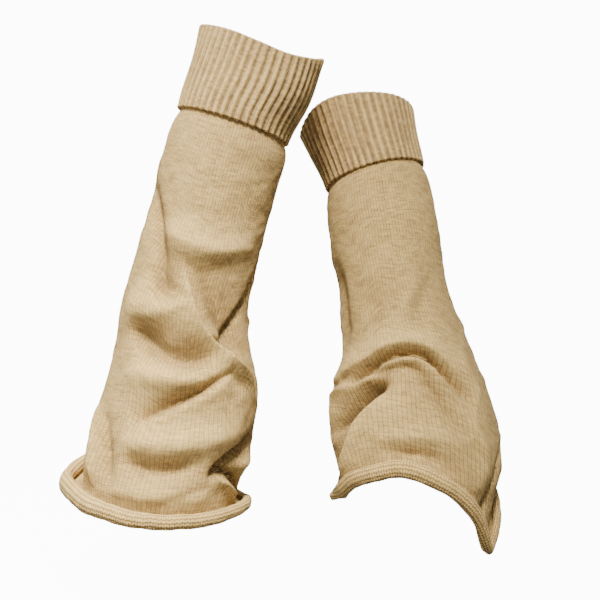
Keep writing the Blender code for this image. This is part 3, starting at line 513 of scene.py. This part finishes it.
# Valley, slot and innerFace are steps outward from the leg, to the outer layer's two faces and to the
# inner layer's inside; the slot is the gap between the layers
cuffMesh = {"columnsPerRib": 10, "rows": 62, "edgeRows": 5, "slotRows": 12, "innerRows": 30, "foldRows": 12,
            "valley": 1.9, "slot": 0.4, "innerFace": -2.0, "joinLevel": -6.3, "slotTop": 5.0,
            "ribHeight": 1.7, "innerRib": 0.9, "ribRound": 0.55, "ribSpread": 0.10, "wander": 0.035,
            "uneven": 0.28, "scallop": 1.3, "tuck": 0.6, "bead": 0.22,
            "foldOuter": 3.0, "foldInner": 3.5, "foldRound": 0.8, "foldLength": 6.0}


def buildCuff(warmer, materials):
    size = cuffMesh
    columns = knit["ribs"] * size["columnsPerRib"]
    angle = np.arange(columns) * 360 / columns
    phase = np.arange(columns) / size["columnsPerRib"]
    edge = warmer["sections"][0][0]
    top, flare = edge + roundSpline(angle, warmer["brim"], 1), roundSpline(angle, warmer["brim"], 2)
    wander = randomRipples(size["wander"], 1, 6, 40, 120, 5)
    uneven = randomRipples(size["uneven"], 1, 6, 60, 160, 5)
    ribSize = np.repeat(random.standard_normal(knit["ribs"]), size["columnsPerRib"]).clip(-2, 2)
    ribSize = 1 + size["ribSpread"] * ribSize

    def rib(level):
        # 1 on a crest and 0 in the narrow valley between two ribs
        way = phase + ripple(angle, level, wander)
        return (0.5 + 0.5 * np.cos(fullTurn * way)).clip(0, 1) ** size["ribRound"]

    def ring(level, offset, ribHeight=0.0):
        level = np.broadcast_to(np.asarray(level, float), angle.shape)
        point, outward, _, _ = tubeFrame(warmer, angle, level)
        out = offset + ribHeight * ribSize * rib(level) + ripple(angle, level, uneven)
        out = out + flare * np.clip(level / top, 0, 1) ** 2
        return point + outward * out[:, None]

    inner, slot, outer = size["innerFace"], size["slot"], size["valley"]
    height, innerHeight, tuck, join = size["ribHeight"], size["innerRib"], size["tuck"], size["joinLevel"]
    rows, v = [], []
    for t in np.linspace(0, 1, size["rows"]):               # the outer face, down to its edge
        level = (top + size["foldOuter"]) * (1 - t) - tuck * smooth(t * 30 - 29)
        rows.append(ring(level, outer, height * (1 + size["bead"] * smooth(t * 22 - 21))))
        v.append(edge * (1 - t))
    for t in np.linspace(0.2, 1, size["edgeRows"]):         # its rounded, scalloped edge
        level = size["scallop"] * rib(0) * np.sin(np.pi / 2 * t) - tuck
        rows.append(ring(level, slot + (outer - slot) * np.cos(np.pi / 2 * t),
                         height * (1 + size["bead"]) * (1 - t) ** 0.6))
        v.append(t)
    for t in np.linspace(0, 1, size["slotRows"]):           # up the inside of the outer layer
        rows.append(ring((top + size["slotTop"]) * t - tuck * (1 - t), slot))
        v.append(edge * t)
    for t in np.linspace(0, 1, size["slotRows"]):           # down the outside of the inner layer
        level = top + size["slotTop"]
        rows.append(ring(level + (join - level) * t, 0.0))
        v.append(edge * (1 + t))
    for t in np.linspace(0, 1, size["innerRows"]):          # up the inner face
        rows.append(ring(join + (top + size["foldInner"] - join) * t, inner, innerHeight))
        v.append(edge * (2 - t))
    foldDrop = (size["foldInner"] + size["foldOuter"]) / 2
    for t in np.linspace(0, 1, size["foldRows"] + 2)[1:-1]:     # over the soft fold at the top
        level = top + foldDrop * (1 - np.sin(np.pi * t) ** size["foldRound"])
        rows.append(ring(level, inner + (outer - inner) * (0.5 - 0.5 * np.cos(np.pi * t)),
                         innerHeight + (height - innerHeight) * smooth(t)))
        v.append(edge + size["foldLength"] * (t - 0.5))
    points = np.stack(rows)
    # the rib's shape, passed on as painted shade that darkens the valleys between ribs
    ribs = np.broadcast_to(rib(0), points.shape[:2])
    down = np.broadcast_to(np.array(v)[:, None] / knit["coursePitch"], (len(v), columns + 1))
    wales = waleNumbers(columns, knit["walesInRib"] * knit["ribs"]) + 0.5
    across = np.broadcast_to(wales, down.shape)
    piece = addCloth(f"{warmer['name']}RibCuff", points, np.stack([across, down], axis=-1),
                     [0] * len(points), materials, ribs)
    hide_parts(f"{warmer['name']}_cuff")
    return piece


def linear(code):
    # a hex colour as it is seen on a screen, turned to the renderer's linear numbers
    values = np.array([int(code[i:i + 2], 16) for i in (1, 3, 5)]) / 255
    values = np.where(values <= 0.04045, values / 12.92, ((values + 0.055) / 1.055) ** 2.4)
    return (*values, 1.0)


def addNode(tree, kind, inputs=None, **settings):
    # one node with its settings; each input is a value or another node's output
    node = tree.nodes.new(kind)
    for name, value in settings.items():
        setattr(node, name, value)
    for place, value in (inputs or {}).items():
        if isinstance(value, bpy.types.NodeSocket):
            tree.links.new(value, node.inputs[place])
        else:
            node.inputs[place].default_value = value
    return node.outputs


# Soft-spun yarn of short matte fibres: rough, without a gloss, and with a faint bloom at grazing light
yarn = {"roughness": 0.92, "ior": 1.5, "specular": 0.25, "bloomRoughness": 0.45, "bloom": "#fff0d0"}

# Sizes in millimetres of what varies over the cloth; real fibres are far finer and wouldn't show
variation = {"fibre": 1.077, "streak": 2.8, "sway": 31.1, "cloud": 56.0}


def knitMaterial(name, look):
    # machine-knitted loops, with painted light on each loop's top and painted shade where it dips, as well as
    # a bump
    material = bpy.data.materials.new(name)
    material.use_nodes = True
    tree = material.node_tree
    shader = tree.nodes["Principled BSDF"]
    kind = "ShaderNodeMath"
    scale = {part: knit["stitch"] / millimetres for part, millimetres in variation.items()}
    place = addNode(tree, "ShaderNodeUVMap", uv_map="stitches")[0]
    # the rows wander a little, as soft knitting does
    sway = {"Vector": place, "Scale": scale["sway"], "Detail": 1.0}
    sway = addNode(tree, "ShaderNodeTexNoise", sway)["Color"]
    sway = addNode(tree, "ShaderNodeVectorMath", {0: sway, 1: (0.7, 0.9, 0.0), 2: (-0.35, -0.45, 0.0)},
                   operation="MULTIPLY_ADD")[0]
    swayed = addNode(tree, "ShaderNodeVectorMath", {0: place, 1: sway}, operation="ADD")[0]
    split = addNode(tree, "ShaderNodeSeparateXYZ", {0: swayed})
    wale, course = split[0], split[1]
    if look["purl"]:
        # the reverse side: rows of small arcs that hook into each other
        wave = addNode(tree, kind, {0: wale, 1: fullTurn}, operation="MULTIPLY")[0]
        wave = addNode(tree, kind, {0: wave}, operation="SINE")[0]
        wave = addNode(tree, kind, {0: wave, 1: 0.1, 2: course}, operation="MULTIPLY_ADD")[0]
        phase = addNode(tree, kind, {0: wave}, operation="FRACT")[0]
        hump = addNode(tree, kind, {0: phase, 1: np.pi}, operation="MULTIPLY")[0]
        hump = addNode(tree, kind, {0: hump}, operation="SINE")[0]
        beads = addNode(tree, kind, {0: wale, 1: 2 * fullTurn}, operation="MULTIPLY")[0]
        beads = addNode(tree, kind, {0: beads}, operation="COSINE")[0]
        beads = addNode(tree, kind, {0: beads, 1: look["beads"], 2: 1 - look["beads"]},
                        operation="MULTIPLY_ADD")[0]
        height = addNode(tree, kind, {0: hump, 1: beads}, operation="MULTIPLY")[0]
    else:
        # the face side: columns of V-shaped loops, side runs from a column's middle to its edge
        side = addNode(tree, kind, {0: wale}, operation="FRACT")[0]
        side = addNode(tree, kind, {0: side, 1: 0.5}, operation="SUBTRACT")[0]
        side = addNode(tree, kind, {0: side}, operation="ABSOLUTE")[0]
        side = addNode(tree, kind, {0: side, 1: 2.0}, operation="MULTIPLY")[0]
        phase = addNode(tree, kind, {0: side, 1: look["slant"], 2: course}, operation="MULTIPLY_ADD")[0]
        phase = addNode(tree, kind, {0: phase}, operation="FRACT")[0]
        hump = addNode(tree, kind, {0: phase, 1: np.pi}, operation="MULTIPLY")[0]
        hump = addNode(tree, kind, {0: hump}, operation="SINE")[0]
        hump = addNode(tree, kind, {0: hump, 1: 0.7}, operation="POWER")[0]
        hump = addNode(tree, kind, {0: hump, 1: look["courseDepth"], 2: 1 - look["courseDepth"]},
                       operation="MULTIPLY_ADD")[0]
        edge = addNode(tree, kind, {0: side, 1: 2.0}, operation="POWER")[0]
        edge = addNode(tree, kind, {0: edge, 1: -look["waleDepth"], 2: 1.0}, operation="MULTIPLY_ADD")[0]
        middle = addNode(tree, kind, {0: 1.0, 1: side}, operation="SUBTRACT")[0]
        middle = addNode(tree, kind, {0: middle, 1: 5.0}, operation="POWER")[0]
        middle = addNode(tree, kind, {0: middle, 1: -0.35, 2: 1.0}, operation="MULTIPLY_ADD")[0]
        height = addNode(tree, kind, {0: hump, 1: edge}, operation="MULTIPLY")[0]
        height = addNode(tree, kind, {0: height, 1: middle}, operation="MULTIPLY")[0]
    # the yarn's own fibres, coarser than real so that they show
    fibre = {"Vector": place, "Scale": scale["fibre"], "Detail": 3.0, "Roughness": 0.6}
    fibre = addNode(tree, "ShaderNodeTexNoise", fibre)[0]
    height = addNode(tree, kind, {0: fibre, 1: look["fibre"], 2: height}, operation="MULTIPLY_ADD")[0]

    # dye taken up unevenly: from loop to loop, in long streaks along the rows, and in broad clouds
    loop = addNode(tree, "ShaderNodeVectorMath", {0: swayed}, operation="FLOOR")[0]
    speck = addNode(tree, "ShaderNodeTexWhiteNoise", {"Vector": loop}, noise_dimensions="2D")["Value"]
    streak = addNode(tree, "ShaderNodeVectorMath", {0: place, 1: (0.2, 1.0, 0.0)}, operation="MULTIPLY")[0]
    streak = {"Vector": streak, "Scale": scale["streak"], "Detail": 2.0}
    streak = addNode(tree, "ShaderNodeTexNoise", streak)[0]
    cloud = {"Vector": place, "Scale": scale["cloud"], "Detail": 2.0}
    cloud = addNode(tree, "ShaderNodeTexNoise", cloud)[0]
    # painted shade: the loops' dips darker and their tops paler, from the same height that drives the bump
    tone = addNode(tree, kind, {0: height, 1: look["paintedStitchShade"], 2: look["base"]}, operation="MULTIPLY_ADD")[0]
    for part, amount in ((speck, look["speck"]), (streak, look["streak"]), (cloud, look["cloud"])):
        tone = addNode(tree, kind, {0: part, 1: amount, 2: tone}, operation="MULTIPLY_ADD")[0]
    # painted shade and painted light: darker deep in a fold's hollow, in the valleys between ribs and on the
    # roll's underside, paler on a fold's crest and on the roll's top
    crest = addNode(tree, "ShaderNodeAttribute", attribute_name="crest")["Fac"]
    tone = addNode(tree, kind, {0: crest, 1: look["crest"], 2: tone}, operation="MULTIPLY_ADD")[0]
    colour = addNode(tree, "ShaderNodeValToRGB", {"Fac": tone})[0]
    stops = colour.node.color_ramp.elements
    stops[0].position, stops[0].color = 0.0, linear(look["deep"])
    stops[1].position, stops[1].color = 1.0, linear(look["light"])
    stops.new(0.5).color = linear(look["middle"])
    tree.links.new(colour, shader.inputs["Base Color"])
    bump = {"Height": height, "Strength": 1.0, "Distance": look["stitchHeight"] * mm}
    tree.links.new(addNode(tree, "ShaderNodeBump", bump)[0], shader.inputs["Normal"])
    shader.inputs["Roughness"].default_value = yarn["roughness"]
    shader.inputs["IOR"].default_value = yarn["ior"]
    shader.inputs["Specular IOR Level"].default_value = yarn["specular"]
    shader.inputs["Sheen Weight"].default_value = look["sheen"]
    shader.inputs["Sheen Roughness"].default_value = yarn["bloomRoughness"]
    shader.inputs["Sheen Tint"].default_value = linear(yarn["bloom"])
    return material


# Plain jersey knit, its face out: fine upright columns of loops, with rows that vary a little in shade
plainFace = {"purl": False, "slant": 0.6, "courseDepth": 0.24, "waleDepth": 0.52, "stitchHeight": 1.2,
             "fibre": 0.9, "base": -0.57, "paintedStitchShade": 0.66, "speck": 0.15, "streak": 0.55, "cloud": 0.22,
             "crest": 0.022, "sheen": 0.1, "deep": "#4b4535", "middle": "#a38755", "light": "#e8ca86"}
# The same cloth from behind, as it shows inside the legs: rows of small arcs in shadow
reverseFace = dict(plainFace, purl=True, beads=0.22, base=-0.33, paintedStitchShade=0.85, streak=0.2)
# Rib knit, worked tighter: rounded cords of loops that catch the light, with narrow valleys between them
# darkened by painted shade
ribFace = dict(plainFace, slant=0.9, courseDepth=0.6, stitchHeight=0.8, streak=0.1, speck=0.28, base=-0.9,
               paintedStitchShade=0.8, crest=0.56, deep="#4f4733", middle="#a08557", light="#dec084")
# The jersey's reverse, curled outward by the knit itself: beads of yarn in rows that run along the roll
hemFace = dict(reverseFace, stitchHeight=0.9, fibre=0.6, base=-0.22, paintedStitchShade=0.75, beads=0.32,
               deep="#57492f", middle="#ae905a", light="#e7ca88")

# Rows of lights: name, energy, place, target, size, spread, colour, in metres
studio = {
    "eye": (47.4, -950.0, -200.0), "lens": 61.3, "floor": -470.0, "room": 0.33,
    "lights": [
        ("keyLight", 14.0, (-0.05, -1.25, 1.4), (-0.37, 0, -0.3), 0.7, 44, "#fff6e6"),
        ("fillLight", 4.0, (-1.3, -0.8, 0.3), (0.05, 0, -0.2), 1.0, 180, "#fbf8f2"),
        ("backLight", 9.0, (0.3, 1.4, 0.9), (0.05, 0, -0.2), 1.0, 180, "#fbf8f2"),
    ],
}
# Matte studio paper in metres: an even, pale ground without a gloss
paper = {"halfWidth": 4.0, "front": -2.5, "bendStart": 1.2, "bend": 0.8, "top": 3.0,
         "colour": "#8c8a87", "roughness": 0.9, "glow": "#ffffff", "glowStrength": 12.0}


def addLight(name, energy, place, target, size, spread, colour):
    lamp = bpy.data.lights.new(name, "AREA")
    lamp.energy, lamp.color = energy, linear(colour)[:3]
    lamp.shape, lamp.size, lamp.spread = "DISK", size, np.radians(spread)
    holder = bpy.data.objects.new(name, lamp)
    holder.location = Vector(place)
    holder.rotation_euler = (Vector(target) - Vector(place)).to_track_quat("-Z", "Y").to_euler()
    bpy.context.scene.collection.objects.link(holder)


def buildStudio():
    lens = bpy.data.cameras.new("camera")
    lens.lens, lens.sensor_width = studio["lens"], 36.0
    camera = bpy.data.objects.new("camera", lens)
    camera.location = Vector(studio["eye"]) * mm
    camera.rotation_euler = (np.pi / 2, 0, 0)
    bpy.context.scene.collection.objects.link(camera)
    bpy.context.scene.camera = camera

    # a pale paper sweep: floor, a wide bend and a wall behind
    start, bend, side = paper["bendStart"], paper["bend"], paper["halfWidth"]
    profile = [(paper["front"], 0.0), (start, 0.0)]
    profile += [(start + bend * np.sin(t), bend - bend * np.cos(t)) for t in np.linspace(0.1, np.pi / 2, 16)]
    profile += [(start + bend, paper["top"])]
    points = [(x, y, z + studio["floor"] * mm) for y, z in profile for x in (-side, side)]
    faces = [(2 * i, 2 * i + 1, 2 * i + 3, 2 * i + 2) for i in range(len(profile) - 1)]
    mesh = bpy.data.meshes.new("paperSweep")
    mesh.from_pydata(points, [], faces)
    mesh.shade_smooth()
    material = bpy.data.materials.new("mattePaper")
    material.use_nodes = True
    tree = material.node_tree
    shader = tree.nodes["Principled BSDF"]
    shader.inputs["Base Color"].default_value = linear(paper["colour"])
    shader.inputs["Roughness"].default_value = paper["roughness"]
    shader.inputs["Emission Color"].default_value = linear(paper["glow"])
    # the paper looks bright but throws little light back on the knitting
    seen = addNode(tree, "ShaderNodeLightPath")["Is Camera Ray"]
    glow = addNode(tree, "ShaderNodeMath", {0: seen, 1: paper["glowStrength"]}, operation="MULTIPLY")[0]
    tree.links.new(glow, shader.inputs["Emission Strength"])
    mesh.materials.append(material)
    sweep = bpy.data.objects.new("paperSweep", mesh)
    bpy.context.scene.collection.objects.link(sweep)

    world = bpy.data.worlds.new("studio")
    world.use_nodes = True
    world.node_tree.nodes["Background"].inputs["Color"].default_value = linear("#ffffff")
    world.node_tree.nodes["Background"].inputs["Strength"].default_value = studio["room"]
    bpy.context.scene.world = world
    for light in studio["lights"]:
        addLight(*light)
    print("studio done")


buildStudio()
faceKnit = knitMaterial("plainKnitFace", plainFace)
reverseKnit = knitMaterial("plainKnitReverse", reverseFace)
ribKnit = knitMaterial("ribKnit", ribFace)
hemKnit = knitMaterial("rolledHemReverse", hemFace)
print("materials done")
for warmer in (leftWarmer, rightWarmer):
    warmer["ripples"] = legRipples()
    warmer["wobbles"] = [(hemWobble["size"] / times ** 0.5, times, 1.0, random.uniform(0, fullTurn))
                         for times in hemWobble["times"]]
    leg = buildLeg(warmer, [faceKnit, reverseKnit])
    cuff = buildCuff(warmer, [ribKnit])
    hem = buildHem(warmer, [faceKnit, hemKnit])
